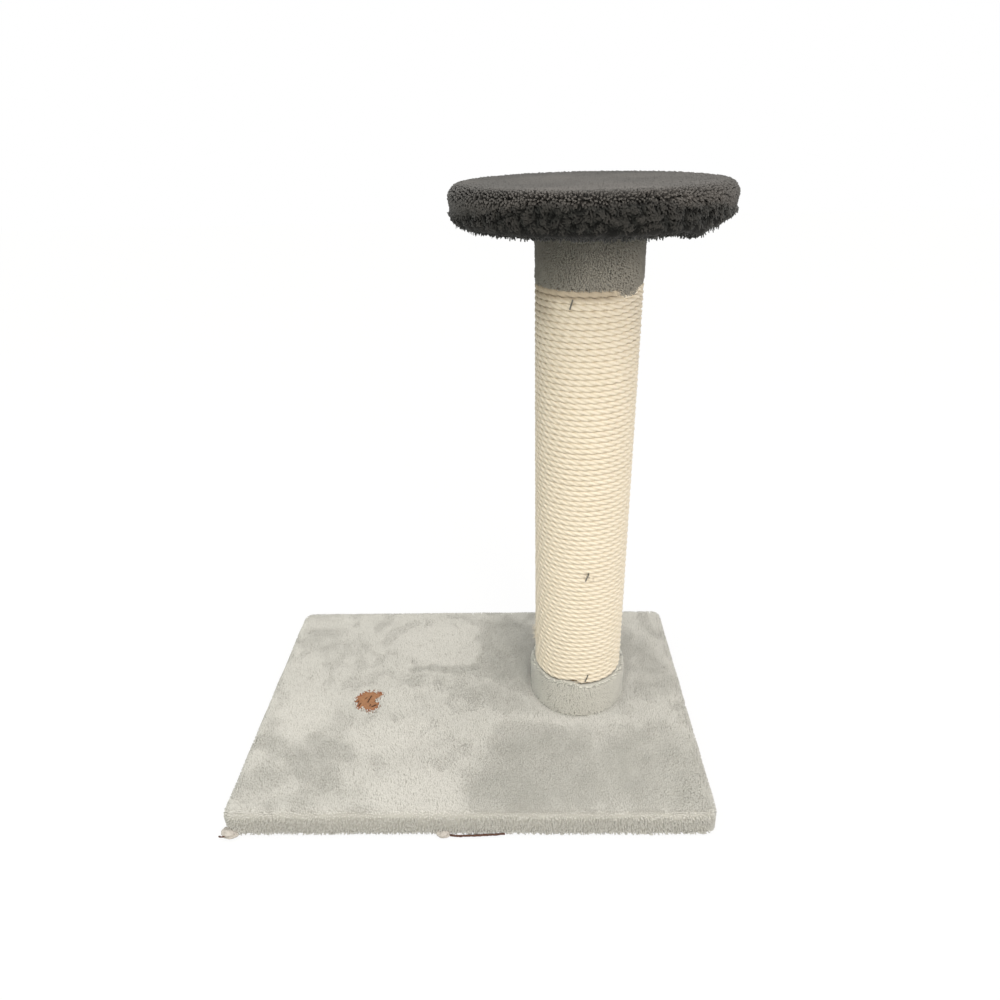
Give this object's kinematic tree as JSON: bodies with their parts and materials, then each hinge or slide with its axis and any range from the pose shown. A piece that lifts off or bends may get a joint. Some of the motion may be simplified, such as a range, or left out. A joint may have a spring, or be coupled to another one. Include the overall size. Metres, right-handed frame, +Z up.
{
  "type": "cat tree",
  "caption": "Cat tree: a carpeted rectangular base, a scratching post wound with rope, and a round plush perch on top.",
  "frame": {"origin": "on the floor at the middle of the rectangular base", "axes": "+Z up along the post, X along the base's long side with the post towards +X, -Y the front"},
  "size_m": [0.5706, 0.3914, 0.6814],
  "materials": {
    "particle_board": "matte",
    "plug_wood": "matte",
    "tube_card": "matte",
    "pale_plush": "matte",
    "dark_plush": "matte",
    "cotton_rope": "matte",
    "staple_wire": "satin",
    "zinc_steel": "satin",
    "nail_steel": "satin"
  },
  "bodies": {
    "root": {"base_board": "particle_board", "base_carpet": "pale_plush", "base_staples": "staple_wire", "base_screws": "zinc_steel", "base_washers": "zinc_steel", "lower_plug": "plug_wood", "lower_plug_nails": "nail_steel", "post_tube": "tube_card", "upper_plug": "plug_wood", "upper_plug_nails": "nail_steel", "lower_collar": "pale_plush", "upper_collar": "pale_plush", "collar_staples": "staple_wire", "rope_upper_length": "cotton_rope", "rope_lower_length": "cotton_rope", "rope_staples": "staple_wire", "platform_board": "particle_board", "platform_cover": "dark_plush", "platform_staples": "staple_wire", "platform_screws": "zinc_steel"}
  },
  "joints": []
}
